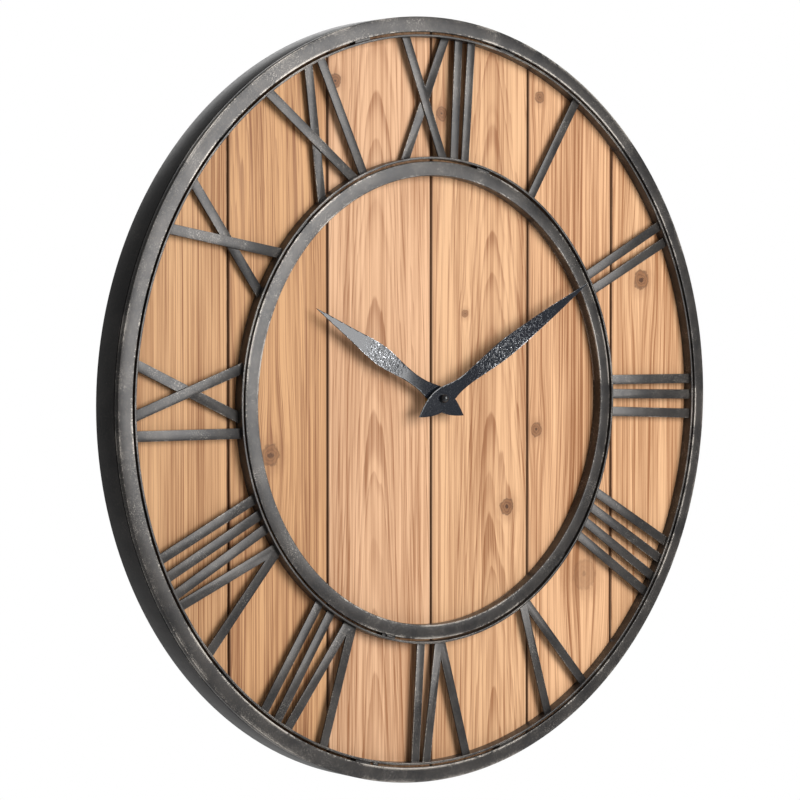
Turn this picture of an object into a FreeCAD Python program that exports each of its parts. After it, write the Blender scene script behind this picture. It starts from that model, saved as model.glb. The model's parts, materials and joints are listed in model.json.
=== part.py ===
import FreeCAD, Part
import math
import os
import Sketcher
from FreeCAD import Placement, Rotation, Vector

# Round wall clock: a rolled steel rim and a welded numeral frame over a disc of boards, with a
# battery movement behind and two hands in front.
#
# Every sub-part is drawn about the clock's centre line: x to the right and y up as the clock is
# looked at, z out of the wall. CLOCK then stands it up: the dial looks along -Y, +Z is up, and the
# origin is the round entry of the keyhole that the clock hangs by, in the plane of the wall.

doc = FreeCAD.newDocument("wall_clock")
sheet = doc.addObject("Spreadsheet::Sheet", "Sizes")

SIZES = {
    # heights above the wall
    "band_front": 29.5,
    "seam_gap": 1.0,
    "flange_back": 34.5,
    "rim_edge": 36.0,
    "rim_crest": 38.0,
    "inner_edge": 36.6,
    "hoop_front": 37.5,
    "hoop_clear": 0.5,
    "bar_front": 34.0,
    "board_front": 26.0,
    "board_back": 18.0,
    # rim, hoops and numerals
    "rim_radius": 381.0,
    "sheet_thick": 2.0,
    "rim_face": 15.2,
    "groove": 2.4,
    "hoop_thick": 2.2,
    "inner_radius": 223.8,
    "inner_face": 14.4,
    "bar_width": 10.0,
    "bar_thick": 2.0,
    # boards and what holds them
    "board_radius": 377.5,
    "board_gap": 1.2,
    "board_chamfer": 1.0,
    "batten_length": 620.0,
    "batten_width": 40.0,
    "batten_thick": 9.0,
    "batten_rise": 150.0,
    "clip_reach": 34.0,
    "clip_width": 20.0,
    "clip_depth": 14.0,
    "screw_radius": 1.6,
    "screw_head": 3.6,
    # hanging hardware
    "hang_rise": 300.0,
    "hanger_width": 100.0,
    "hanger_tall": 50.0,
    "plate_width": 80.0,
    "plate_tall": 34.0,
    "plate_thick": 1.5,
    "key_radius": 5.0,
    "key_slot": 2.5,
    "key_travel": 11.0,
    # movement
    "axis_rise": 2.5,
    "case_side": 56.0,
    "case_back": 2.0,
    "case_wall": 1.5,
    "cover_thick": 1.2,
    "bush_radius": 5.0,
    "bush_front": 31.5,
    "pipe_radius": 2.5,
    "shaft_radius": 1.6,
    "running": 0.05,
    "battery_radius": 7.0,
    "battery_length": 49.2,
    # hands
    "hand_thick": 1.0,
    "hour_hand_back": 39.0,
    "minute_hand_back": 43.5,
    "hour_length": 180.0,
    "minute_length": 232.0,
    "tail_length": 36.0,
    "cap_radius": 4.4,
    "cap_tall": 6.0,
}

for row, (alias, number) in enumerate(SIZES.items(), start=1):
    sheet.set(f"A{row}", alias)
    sheet.set(f"B{row}", str(number))
    sheet.setAlias(f"B{row}", alias)
doc.recompute()

CLOCK = Placement(Vector(0, 0, -SIZES["hang_rise"]), Rotation(Vector(1, 0, 0), 90))
nodes = []


def size(alias):
    """The value of one cell of the sheet, for shapes made in code."""
    return float(sheet.get(alias))


def bind(feature, **formulas):
    """Tie properties of a feature to formulas over the sheet; __ in a name stands for a dot."""
    for name, formula in formulas.items():
        feature.setExpression(name.replace("__", "."), formula)
    return feature


def sized(formula):
    """A formula with its aliases spelt as cells of the sheet."""
    words = formula.replace("(", "( ").replace(")", " )").split()
    return " ".join(f"Sizes.{word}" if word in SIZES else word for word in words)


def keep(feature, label):
    """Name a finished sub-part and stand it on the clock; a lone box already has a place of its own."""
    if feature.TypeId == "Part::Box":
        feature = group([feature])
    feature.Label = label
    feature.Placement = CLOCK
    nodes.append(feature)
    return feature


# ---------------------------------------------------------------- shared shapes


def disc(radius, back, front, x="0", y="0"):
    """A cylinder along z between two heights."""
    feature = doc.addObject("Part::Cylinder", "disc")
    bind(feature, Radius=sized(radius), Height=sized(f"{front} - ( {back} )"))
    return bind(
        feature,
        Placement__Base__x=sized(x),
        Placement__Base__y=sized(y),
        Placement__Base__z=sized(back),
    )


def block(x0, x1, y0, y1, back, front):
    """A box between two corners, each given as a formula."""
    feature = doc.addObject("Part::Box", "block")
    bind(feature, Length=sized(f"( {x1} ) - ( {x0} )"), Width=sized(f"( {y1} ) - ( {y0} )"))
    bind(feature, Height=sized(f"( {front} ) - ( {back} )"), Placement__Base__x=sized(x0))
    return bind(feature, Placement__Base__y=sized(y0), Placement__Base__z=sized(back))


def cut(base, tool):
    """One solid less another."""
    feature = doc.addObject("Part::Cut", "cut")
    feature.Base = base
    feature.Tool = tool
    return feature


def common(base, tool):
    """What two solids share."""
    feature = doc.addObject("Part::Common", "common")
    feature.Base = base
    feature.Tool = tool
    return feature


def fuse(shapes):
    """Solids made one, with the seams between flush faces taken out."""
    feature = doc.addObject("Part::MultiFuse", "fuse")
    feature.Shapes = shapes
    feature.Refine = True
    return feature


def group(shapes):
    """Separate solids kept as one sub-part or one tool."""
    feature = doc.addObject("Part::Compound", "group")
    feature.Links = shapes
    return feature


def tube(outer, inner, back, front, x="0", y="0"):
    """A plain tube along z between two heights."""
    return cut(disc(outer, back, front, x, y), disc(inner, back, front, x, y))


def sector(inner, outer, back, front, middle, sweep):
    """A piece of a tube, sweep degrees wide, centred on a clock angle."""
    whole = disc(outer, back, front)
    whole.Angle = sweep
    hole = disc(inner, back, front)
    whole.Placement.Rotation = Rotation(Vector(0, 0, 1), 90 - middle - sweep / 2)
    return cut(whole, hole)


def sheet_value(formula):
    """The number that a formula over the sheet gives."""
    probe = doc.getObject("Probe") or doc.addObject("App::FeaturePython", "Probe")
    if "Value" not in probe.PropertiesList:
        probe.addProperty("App::PropertyFloat", "Value")
    probe.setExpression("Value", sized(formula))
    probe.recompute()
    return probe.Value


def section_sketch(body, role, points):
    """A closed sketch of straight sides through points given as formulas, each one tied to the sheet."""
    plane = next(f for f in body.Origin.OriginFeatures if f.Role == role)
    sketch = body.newObject("Sketcher::SketchObject", f"{body.Name}_section")
    sketch.AttachmentSupport = (plane, [""])
    sketch.MapMode = "FlatFace"
    numbers = [(sheet_value(across), sheet_value(up)) for across, up in points]
    count = len(points)
    for index in range(count):
        start = Vector(*numbers[index], 0)
        end = Vector(*numbers[(index + 1) % count], 0)
        sketch.addGeometry(Part.LineSegment(start, end))
    for index in range(count):
        sketch.addConstraint(Sketcher.Constraint("Coincident", index, 2, (index + 1) % count, 1))
    for index, (across, up) in enumerate(points):
        for kind, formula, number in (
            ("DistanceX", across, numbers[index][0]),
            ("DistanceY", up, numbers[index][1]),
        ):
            name = f"{kind}_{index}"
            place = sketch.addConstraint(Sketcher.Constraint(kind, -1, 1, index, 1, number))
            sketch.renameConstraint(place, name)
            sketch.setExpression(f"Constraints.{name}", sized(formula))
    return sketch


def revolved(name, points):
    """A body turned about the clock's centre line from a section of (radius, height) formulas."""
    body = doc.addObject("PartDesign::Body", name)
    sketch = section_sketch(body, "XZ_Plane", points)
    turn = body.newObject("PartDesign::Revolution", f"{name}_turn")
    turn.Profile = sketch
    turn.ReferenceAxis = (sketch, ["V_Axis"])
    turn.Angle = 360
    return body


def clock_point(radius, angle):
    """The place at a radius and a clock angle in degrees, clockwise from twelve."""
    turn = math.radians(angle)
    return Vector(radius * math.sin(turn), radius * math.cos(turn), 0)


# ---------------------------------------------------------------- rim

# Clock angles and widths, in degrees: the tacks in the rim's seam, and the lugs hidden behind the
# face rings, which join the rim, the hoops and the inner ring.
SEAM_TACKS = (1, 121, 241)
SEAM_TACK_SWEEP = 1.8
LUG_COUNT = 12
LUG_SWEEP = 3.0
INNER_LUG_SWEEP = 4.0


def make_rim():
    """The rolled band, the folded ring that faces it, and the three tacks in the seam between."""
    band = tube("rim_radius", "rim_radius - sheet_thick", "0", "band_front")
    keep(band, "rim_band")
    face = revolved(
        "face",
        [
            ("rim_radius - rim_face", "rim_crest"),
            ("rim_radius", "rim_edge"),
            ("rim_radius", "band_front + seam_gap"),
            ("rim_radius - sheet_thick", "band_front + seam_gap"),
            ("rim_radius - sheet_thick", "flange_back"),
            ("rim_radius - rim_face", "flange_back"),
        ],
    )
    keep(face, "rim_face_ring")
    inside = "rim_radius - sheet_thick"
    seam_front = "band_front + seam_gap"
    seam_welds = [
        sector(inside, "rim_radius", "band_front", seam_front, at, SEAM_TACK_SWEEP) for at in SEAM_TACKS
    ]
    keep(group(seam_welds), "rim_seam_welds")


def make_rim_lugs():
    """Short straps from the rim to the outer hoop."""
    inner = "rim_radius - rim_face - groove"
    outer = "rim_radius - sheet_thick"
    lugs = [
        sector(inner, outer, "board_front", "flange_back", 15 + 360 / LUG_COUNT * index, LUG_SWEEP)
        for index in range(LUG_COUNT)
    ]
    keep(group(lugs), "rim_lugs")


# ---------------------------------------------------------------- numeral frame

OUTER_HOOP = "rim_radius - rim_face - groove"
INNER_HOOP = "inner_radius + inner_face + groove"


def make_hoops():
    """The two flat hoops that the numerals are welded between, and the sloped ring inside them."""
    outer = tube(OUTER_HOOP, f"{OUTER_HOOP} - hoop_thick", "board_front", "hoop_front")
    keep(outer, "outer_hoop")
    inner = tube(f"{INNER_HOOP} + hoop_thick", INNER_HOOP, "board_front + hoop_clear", "hoop_front")
    keep(inner, "inner_hoop")
    ring = revolved(
        "inner_ring",
        [
            ("inner_radius", "rim_crest"),
            ("inner_radius + inner_face", "inner_edge"),
            ("inner_radius + inner_face", "flange_back"),
            ("inner_radius + sheet_thick", "flange_back"),
            ("inner_radius + sheet_thick", "board_front + hoop_clear"),
            ("inner_radius", "board_front + hoop_clear"),
        ],
    )
    keep(ring, "inner_face_ring")
    lug_back = "flange_back - 3"
    lugs = [
        sector("inner_radius + sheet_thick", INNER_HOOP, lug_back, "flange_back", at, INNER_LUG_SWEEP)
        for at in range(15, 375, 60)
    ]
    keep(group(lugs), "inner_lugs")


def make_groove_welds():
    """The closing weld that bridges each groove, low on the dial."""
    outer = sector(OUTER_HOOP, "rim_radius - rim_face", "flange_back", "hoop_front", 192.7, 1.2)
    keep(outer, "outer_groove_weld")
    inner = sector("inner_radius + inner_face", INNER_HOOP, "flange_back", "inner_edge", 195, 2.0)
    keep(inner, "inner_groove_weld")


# Each stroke of a numeral is a flat bar: its clock angle at the outer hoop, then at the inner one.
# A numeral's second list lies one bar's thickness further back, behind the strokes that cross it.
NUMERALS = {
    "numeral_1": ([(31.9, 31.7)], []),
    "numeral_2": ([(60.1, 58.7), (63.1, 62.7)], []),
    "numeral_3": ([(87.4, 86.0), (90.1, 89.5), (93.4, 93.9)], []),
    "numeral_4": ([(116.0, 114.5), (119.2, 118.5), (122.6, 122.5), (125.6, 126.5)], []),
    "numeral_5": ([(145.9, 149.9), (155.0, 151.0)], []),
    "numeral_6": ([(173.6, 178.3), (182.0, 179.1), (184.3, 184.6)], []),
    "numeral_7": ([(203.3, 206.1), (211.0, 207.6), (213.4, 213.4), (216.4, 217.5)], []),
    "numeral_8": (
        [(230.4, 235.0), (239.4, 235.7), (241.3, 241.1), (244.3, 244.7), (247.3, 248.6)],
        [],
    ),
    "numeral_9": ([(266.0, 263.9), (268.9, 278.4)], [(276.5, 267.5)]),
    "numeral_10": ([(297.2, 306.5)], [(305.5, 296.2)]),
    "numeral_11": ([(325.0, 334.2), (336.3, 337.4)], [(333.9, 324.0)]),
    "numeral_12": ([(-6.2, 2.0), (4.7, 5.6), (7.4, 9.0)], [(2.1, -9.0)]),
}
BAR_SPARE = 12.0


def stroke(outer_angle, inner_angle, front):
    """One flat bar between two clock angles, left long at both ends for the hoops to trim."""
    outer = clock_point(sheet_value(f"{OUTER_HOOP} - hoop_thick"), outer_angle)
    inner = clock_point(sheet_value(f"{INNER_HOOP} + hoop_thick"), inner_angle)
    along = (outer - inner).normalize()
    bar = doc.addObject("Part::Box", "bar")
    bar.Length = (outer - inner).Length + 2 * BAR_SPARE
    bind(bar, Width="Sizes.bar_width", Height="Sizes.bar_thick")
    side = Vector(-along.y, along.x, 0) * (size("bar_width") / 2)
    corner = inner - along * BAR_SPARE - side
    corner.z = sheet_value(f"{front} - bar_thick")
    bar.Placement = Placement(corner, Rotation(Vector(1, 0, 0), along))
    return bar


def make_numeral(name, front_strokes, back_strokes):
    """The bars of one numeral, fused where they cross and trimmed to the two hoops."""
    bars = [stroke(outer, inner, "bar_front") for outer, inner in front_strokes]
    bars += [stroke(outer, inner, "bar_front - bar_thick") for outer, inner in back_strokes]
    room = tube(
        f"{OUTER_HOOP} - hoop_thick",
        f"{INNER_HOOP} + hoop_thick",
        "board_front",
        "hoop_front",
    )
    strokes = fuse(bars) if len(bars) > 1 else bars[0]
    keep(common(strokes, room), name)


# ---------------------------------------------------------------- boards

# The joints between boards, from left to right; the middle one crosses the hands' axis.
BOARD_JOINTS = (-250.0, -131.5, 0.0, 130.5, 250.0)

# What the boards are screwed to from behind: x of the screws in each batten, and the rim's clips.
BATTEN_SCREWS = (-290.0, -190.0, -65.0, 65.0, 190.0, 290.0)
CLIP_ANGLES = tuple(range(10, 370, 45))
CLIP_SCREW = "rim_radius - sheet_thick - clip_reach + 10"
SCREW_BITE = 5.0
SCREW_HEAD_TALL = 1.8


def make_boards():
    """The disc of boards, each with its pilot holes for the screws behind it."""
    reach = size("board_radius")
    edges = [-reach - 1, *BOARD_JOINTS, reach + 1]
    for index, (left, right) in enumerate(zip(edges, edges[1:]), start=1):
        keep(board(left, right), f"board_{index}")


def screw_spots():
    """Where the screws that hold the boards go in: through the battens, and through the rim's clips."""
    rise = size("batten_rise")
    spots = [Vector(x, y, 0) for x in BATTEN_SCREWS for y in (-rise, rise)]
    return spots + [clock_point(sheet_value(CLIP_SCREW), angle) for angle in CLIP_ANGLES]


def board(left, right):
    """One board: a plank with its two long front edges eased, trimmed round and drilled."""
    x0 = f"{left} + board_gap / 2"
    x1 = f"{right} - board_gap / 2"
    reach = "board_radius + 1"
    plank = block(x0, x1, f"0 - {reach}", reach, "board_back", "board_front")
    doc.recompute()
    eased = doc.addObject("Part::Chamfer", "eased")
    eased.Base = plank
    ease = size("board_chamfer")
    eased.Edges = [
        (number, ease, ease)
        for number, edge in enumerate(plank.Shape.Edges, start=1)
        if edge.BoundBox.ZMin > size("board_front") - 0.1 and edge.BoundBox.XLength < 0.1
    ]
    round_board = common(eased, disc("board_radius", "board_back", "board_front"))
    holes = [
        disc("screw_radius + 0.05", "board_back", f"board_back + {SCREW_BITE}", str(spot.x), str(spot.y))
        for spot in screw_spots()
        if left < spot.x < right
    ]
    if left <= 0 <= right:
        holes.append(disc("bush_radius + 0.3", "board_back", "board_front", y="axis_rise"))
    return cut(round_board, group(holes))


# ---------------------------------------------------------------- battens, clips and screws


def screw(x, y, under_head):
    """A pan-head wood screw driven towards the boards, its head under one face."""
    head = disc("screw_head", f"{under_head} - {SCREW_HEAD_TALL}", under_head, str(x), str(y))
    shank = disc("screw_radius", under_head, f"board_back + {SCREW_BITE}", str(x), str(y))
    return fuse([head, shank])


def make_battens():
    """The two battens across the back of the boards, and their screws."""
    back = "board_back - batten_thick"
    for label, side in (("lower_batten", -1), ("upper_batten", 1)):
        middle = f"{side} * batten_rise"
        plank = block(
            "0 - batten_length / 2",
            "batten_length / 2",
            f"{middle} - batten_width / 2",
            f"{middle} + batten_width / 2",
            back,
            "board_back",
        )
        holes = [
            disc("screw_radius + 0.1", back, "board_back", str(x), middle) for x in BATTEN_SCREWS
        ]
        keep(cut(plank, group(holes)), label)
    rise = size("batten_rise")
    screws = [screw(x, y, back) for x in BATTEN_SCREWS for y in (-rise, rise)]
    keep(group(screws), "batten_screws")


def make_clips():
    """Sheet angles inside the rim that the disc of boards is screwed to from behind."""
    inside = "rim_radius - sheet_thick"
    sweep = math.degrees(size("clip_width") / size("rim_radius"))
    clips = []
    screws = []
    foot_back = "board_back - sheet_thick"
    for angle in CLIP_ANGLES:
        foot = sector(f"{inside} - clip_reach", inside, foot_back, "board_back", angle, sweep)
        wall = sector(f"{inside} - sheet_thick", inside, "board_back - clip_depth", foot_back, angle, sweep)
        spot = clock_point(sheet_value(CLIP_SCREW), angle)
        hole = disc("screw_radius + 0.1", foot_back, "board_back", str(spot.x), str(spot.y))
        clips.append(cut(fuse([foot, wall]), hole))
        screws.append(screw(spot.x, spot.y, foot_back))
    keep(group(clips), "rim_clips")
    keep(group(screws), "clip_screws")


# ---------------------------------------------------------------- hanging hardware


def keyhole(wider, back, front):
    """The keyhole's outline, widened all round, as a solid between two heights."""
    entry = disc(f"key_radius + {wider}", back, front, y="hang_rise")
    top = disc(f"key_slot + {wider}", back, front, y="hang_rise + key_travel")
    slot = block(
        f"0 - key_slot - {wider}",
        f"key_slot + {wider}",
        "hang_rise",
        "hang_rise + key_travel",
        back,
        front,
    )
    return fuse([entry, top, slot])


# The hanger is centred between the keyhole's entry and the top of its slot.
HANGER_MIDDLE = "hang_rise + 5"
HANGER_SCREWS = (-30, 30)
HANGER_SCREW_END = "12"


def make_hanger():
    """The block behind the boards, the keyhole plate on it, and the plate's countersunk screws."""
    bottom = f"{HANGER_MIDDLE} - hanger_tall / 2"
    wood = block(
        "0 - hanger_width / 2",
        "hanger_width / 2",
        bottom,
        f"{bottom} + hanger_tall",
        "plate_thick",
        "board_back",
    )
    room = keyhole(3.0, "plate_thick", "board_back - 4")
    plate_bottom = f"{HANGER_MIDDLE} - plate_tall / 2"
    plate = block(
        "0 - plate_width / 2",
        "plate_width / 2",
        plate_bottom,
        f"{plate_bottom} + plate_tall",
        "0",
        "plate_thick",
    )
    plate_holes = [keyhole(0.0, "0", "plate_thick")]
    wood_holes = [room]
    screws = []
    for x in HANGER_SCREWS:
        place = (str(x), HANGER_MIDDLE)
        plate_holes.append(flat_head(*place, "0", "plate_thick"))
        wood_holes.append(disc("screw_radius + 0.05", "plate_thick", HANGER_SCREW_END, *place))
        shank = disc("screw_radius", "plate_thick", HANGER_SCREW_END, *place)
        screws.append(fuse([flat_head(*place, "0", "plate_thick"), shank]))
    keep(cut(wood, group(wood_holes)), "hanger_block")
    keep(cut(plate, group(plate_holes)), "keyhole_plate")
    keep(group(screws), "hanger_screws")


def flat_head(x, y, back, front):
    """A countersunk head, flush with the plate's outer face."""
    cone = doc.addObject("Part::Cone", "flat_head")
    bind(cone, Radius1=sized("screw_head"), Radius2=sized("screw_radius"))
    bind(cone, Height=sized(f"{front} - ( {back} )"), Placement__Base__x=sized(x))
    return bind(cone, Placement__Base__y=sized(y), Placement__Base__z=sized(back))


# ---------------------------------------------------------------- movement case and battery

CASE = "case_side / 2"
INSIDE = "( case_side / 2 - case_wall )"
COVER_BACK = "board_back - cover_thick"

# Rises above the hands' axis: the wall between the wheels and the battery bay, and the battery.
BAY_WALL_TOP = -10.5
BAY_WALL_LOW = -11.7
BATTERY_RISE = -19.2
BATTERY_HEIGHT = "9.4"
CONTACT_LOW = -24
CONTACT_TOP = -14.4
CONTACT_THICK = 0.6
KNOB_X = 19.2


def case_block(x0, x1, y0, y1, back, front):
    """A box inside the movement, its y counted from the hands' axis."""
    return block(str(x0), str(x1), f"axis_rise + {y0}", f"axis_rise + {y1}", str(back), str(front))


def across(radius, x0, x1, rise, height):
    """A cylinder along x inside the movement, its rise counted from the hands' axis."""
    feature = doc.addObject("Part::Cylinder", "rod")
    feature.Placement = Placement(Vector(0, 0, 0), Rotation(Vector(0, 1, 0), 90))
    bind(feature, Radius=sized(radius), Height=sized(f"( {x1} ) - ( {x0} )"))
    bind(feature, Placement__Base__x=sized(x0), Placement__Base__y=sized(f"axis_rise + {rise}"))
    return bind(feature, Placement__Base__z=sized(height))


def make_case():
    """The moulded case, open behind the battery, and the flat cover that closes its front."""
    left = f"0 - {INSIDE}"
    shell = case_block(f"0 - {CASE}", CASE, f"0 - {CASE}", CASE, "case_back", COVER_BACK)
    train = case_block(left, INSIDE, BAY_WALL_TOP, INSIDE, "case_back + case_wall", COVER_BACK)
    bay = case_block(left, INSIDE, left, BAY_WALL_LOW, "case_back", COVER_BACK)
    knob_hole = disc("1.4", "case_back", "case_back + case_wall", str(KNOB_X), "axis_rise")
    keep(cut(shell, group([train, bay, knob_hole])), "movement_case")
    cover = case_block(f"0 - {CASE}", CASE, f"0 - {CASE}", CASE, COVER_BACK, "board_back")
    hole = disc("bush_radius", COVER_BACK, "board_back", y="axis_rise")
    keep(cut(cover, hole), "movement_cover")


def make_battery():
    """The cell, and the sprung and flat contacts at its two ends."""
    half = "battery_length / 2"
    cell = across("battery_radius", f"0 - {half}", half, BATTERY_RISE, BATTERY_HEIGHT)
    nub = across("2.7", half, f"{half} + 1", BATTERY_RISE, BATTERY_HEIGHT)
    keep(fuse([cell, nub]), "battery")
    plus = case_block(f"{INSIDE} - {CONTACT_THICK}", INSIDE, CONTACT_LOW, CONTACT_TOP, 5, 14)
    keep(plus, "positive_contact")
    spring_foot = f"{CONTACT_THICK} - {INSIDE}"
    strip = case_block(f"0 - {INSIDE}", spring_foot, CONTACT_LOW, CONTACT_TOP, 5, 14)
    spring = across("2.5", spring_foot, f"0 - {half} - 0.4", BATTERY_RISE, BATTERY_HEIGHT)
    keep(fuse([strip, spring]), "negative_contact")


def make_spindle_hardware():
    """The threaded bushing on the movement, and the washer and nut that clamp it to the boards."""
    bush = tube("bush_radius", "pipe_radius + running", COVER_BACK, "bush_front", y="axis_rise")
    keep(bush, "threaded_bushing")
    washer_front = "board_front + 0.8"
    washer = tube("8", "bush_radius + 0.1", "board_front", washer_front, y="axis_rise")
    keep(washer, "bushing_washer")
    hexagon = doc.addObject("Part::Prism", "hexagon")
    hexagon.Polygon = 6
    hexagon.Circumradius = 7.5
    bind(hexagon, Height="2.6", Placement__Base__y="Sizes.axis_rise")
    bind(hexagon, Placement__Base__z=sized(washer_front))
    hole = disc("bush_radius + 0.05", "board_front", "bush_front", y="axis_rise")
    keep(cut(hexagon, hole), "bushing_nut")


# ---------------------------------------------------------------- wheels of the movement

# Teeth are cut thin and a little shallow, as small moulded wheels are, so that they run free.
ADDENDUM = 0.7
DEDENDUM = 1.0
TOOTH_ROOT = 0.40
TOOTH_TIP = 0.20

MODULE = 0.4
HOUR_MODULE = 0.384
CENTRE_MODULE = 0.3
THIRD_MODULE = 0.25
SECONDS_MODULE = 0.3
CANNON_TEETH = 12
INTERMEDIATE_TEETH = 36
INTERMEDIATE_LEAVES = 10
HOUR_TEETH = 40
CENTRE_TEETH = 64
THIRD_LEAVES = 8
THIRD_TEETH = 60
SECONDS_LEAVES = 8
SECONDS_TEETH = 30
KNOB_TEETH = 12

# The levels of the wheels: the heights above the wall of each one's back and front.
THIRD_LEVEL = (6.4, 7.2)
ROTOR_LEVEL = (6.4, 8.4)
CENTRE_LEVEL = (8.8, 9.8)
SECONDS_LEVEL = (10.6, 11.4)
MOTION_LEVEL = (11.2, 12.6)
HOUR_LEVEL = (14.6, 15.8)
PIVOTS = (4.0, 16.4)

INTERMEDIATE_X = (CANNON_TEETH + INTERMEDIATE_TEETH) * MODULE / 2
THIRD_AT = 150.0
THIRD_FAR = (CENTRE_TEETH + THIRD_LEAVES) * CENTRE_MODULE / 2
SECONDS_AT = 60.0
SECONDS_FAR = (THIRD_TEETH + SECONDS_LEAVES) * THIRD_MODULE / 2
ROTOR = Vector(3.0, 20.0, 0)


def on_axis(height, beside=Vector(0, 0, 0)):
    """A place beside the hands' axis, at a height above the wall."""
    return Vector(beside.x, size("axis_rise") + beside.y, height)


def polar(distance, degrees):
    """A place at a distance and an angle counted from +x."""
    turn = math.radians(degrees)
    return Vector(distance * math.cos(turn), distance * math.sin(turn), 0)


def gear(teeth, module, centre, level, tooth_at):
    """A spur wheel at a level, with one tooth pointing at an angle counted from +x."""
    back, front = level
    pitch = 2 * math.pi / teeth
    root = module * (teeth / 2 - DEDENDUM)
    tip = module * (teeth / 2 + ADDENDUM)
    points = []
    for index in range(teeth):
        middle = math.radians(tooth_at) + index * pitch
        for radius, offset in (
            (root, -TOOTH_ROOT / 2),
            (tip, -TOOTH_TIP / 2),
            (tip, TOOTH_TIP / 2),
            (root, TOOTH_ROOT / 2),
        ):
            turn = middle + offset * pitch
            points.append(Vector(radius * math.cos(turn), radius * math.sin(turn), 0))
    face = Part.Face(Part.makePolygon(points + points[:1]))
    solid = face.extrude(Vector(0, 0, front - back))
    solid.translate(on_axis(back, centre))
    return solid


def rod(radius, centre, level):
    """A round arbor, pipe or hub between two heights."""
    back, front = level
    return Part.makeCylinder(radius, front - back, on_axis(back, centre))


def make_wheel(label, solids, bore=None):
    """One moving piece of the train, fused from its wheel, pinion and arbor."""
    shape = solids[0].fuse(solids[1:]) if len(solids) > 1 else solids[0]
    if bore is not None:
        shape = shape.cut(bore)
    feature = doc.addObject("Part::Feature", label)
    feature.Shape = shape.removeSplitter()
    keep(feature, label)


def make_hand_arbors():
    """The minute shaft with its centre wheel and cannon pinion, and the hour pipe round it."""
    here = Vector(0, 0, 0)
    shaft = size("shaft_radius")
    shaft_front = size("minute_hand_back") + size("hand_thick") + 1
    centre_wheel = gear(CENTRE_TEETH, CENTRE_MODULE, here, CENTRE_LEVEL, THIRD_AT)
    cannon = gear(CANNON_TEETH, MODULE, here, (11.2, 12.8), 0)
    make_wheel("minute_wheel", [centre_wheel, cannon, rod(shaft, here, (6, shaft_front))])
    hour_back = HOUR_LEVEL[0]
    pipe_front = size("hour_hand_back") + size("hand_thick") + 0.6
    hour_wheel = gear(HOUR_TEETH, HOUR_MODULE, here, HOUR_LEVEL, 0)
    pipe = rod(size("pipe_radius"), here, (hour_back, pipe_front))
    bore = rod(shaft + size("running"), here, (hour_back - 1, pipe_front + 1))
    make_wheel("hour_wheel", [hour_wheel, pipe], bore)


def make_intermediate_wheel():
    """The wheel between the cannon pinion and the hour wheel."""
    here = Vector(INTERMEDIATE_X, 0, 0)
    facing = 180 + 180 / INTERMEDIATE_TEETH
    leaf_facing = 180 + 180 / INTERMEDIATE_LEAVES
    wheel = gear(INTERMEDIATE_TEETH, MODULE, here, MOTION_LEVEL, facing)
    pinion = gear(INTERMEDIATE_LEAVES, HOUR_MODULE, here, HOUR_LEVEL, leaf_facing)
    hub = rod(1.2, here, (MOTION_LEVEL[0], HOUR_LEVEL[1]))
    arbor = rod(0.6, here, (10.3, PIVOTS[1]))
    make_wheel("intermediate_wheel", [wheel, pinion, hub, arbor])


def make_fast_wheels():
    """The third and seconds wheels, which turn the centre wheel, and the rotor that drives them."""
    third = polar(THIRD_FAR, THIRD_AT)
    facing = THIRD_AT + 180 + 180 / THIRD_LEAVES
    wheel = gear(THIRD_TEETH, THIRD_MODULE, third, THIRD_LEVEL, SECONDS_AT)
    pinion = gear(THIRD_LEAVES, CENTRE_MODULE, third, CENTRE_LEVEL, facing)
    hub = rod(0.8, third, (THIRD_LEVEL[0], CENTRE_LEVEL[1]))
    make_wheel("third_wheel", [wheel, pinion, hub, rod(0.6, third, PIVOTS)])
    seconds = third + polar(SECONDS_FAR, SECONDS_AT)
    facing = SECONDS_AT + 180 + 180 / SECONDS_LEAVES
    pinion = gear(SECONDS_LEAVES, THIRD_MODULE, seconds, THIRD_LEVEL, facing)
    wheel = gear(SECONDS_TEETH, SECONDS_MODULE, seconds, SECONDS_LEVEL, 0)
    make_wheel("seconds_wheel", [pinion, wheel, rod(0.5, seconds, PIVOTS)])
    hub = rod(0.9, ROTOR, (ROTOR_LEVEL[1], 10))
    make_wheel("rotor", [rod(2.0, ROTOR, ROTOR_LEVEL), hub, rod(0.5, ROTOR, PIVOTS)])


def make_setting_knob():
    """The thumb knob behind the case, whose pinion meshes with the intermediate wheel."""
    here = Vector(KNOB_X, 0, 0)
    pinion = gear(KNOB_TEETH, MODULE, here, MOTION_LEVEL, 180)
    make_wheel("setting_knob", [pinion, rod(1.2, here, (0.3, PIVOTS[1])), rod(4.8, here, (0.3, 1.7))])


def make_electrics():
    """The stator plate round the rotor, the coil beside it, and the circuit board."""
    stator_back, stator_front = 7, 7.8
    plate = case_block(-1, 25, 17, 23, stator_back, stator_front)
    axis = (str(ROTOR.x), f"axis_rise + {ROTOR.y}")
    keep(cut(plate, disc("2.6", str(stator_back), str(stator_front), *axis)), "stator")
    coil_height = "13"
    winding = across("2.8", "8", "24", ROTOR.y, coil_height)
    flanges = [across("3.4", str(x), f"{x} + 0.8", ROTOR.y, coil_height) for x in (8, 23.2)]
    keep(fuse([winding, *flanges]), "coil")
    keep(case_block(-25, -11, 12, 25, 13.5, 14.5), "circuit_board")


# ---------------------------------------------------------------- hands

HOUR_ANGLE = 299.9
MINUTE_ANGLE = 59.7

# Half the width of a hand at places along it: one leaf for the tail, a waist, and a long blade.
TAIL_LEAF = [(-26.0, 5.6), (-14.0, 10.2), (-2.0, 11.5), (10.0, 9.7), (20.0, 7.4)]
HOUR_BLADE = [(35.0, 5.8), (58.0, 7.2), (84.0, 10.0), (104.0, 9.0), (128.0, 6.0), (156.0, 2.9)]
MINUTE_BLADE = [(36.0, 6.3), (60.0, 7.6), (94.0, 9.8), (130.0, 8.4), (170.0, 5.9), (208.0, 2.4)]


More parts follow.
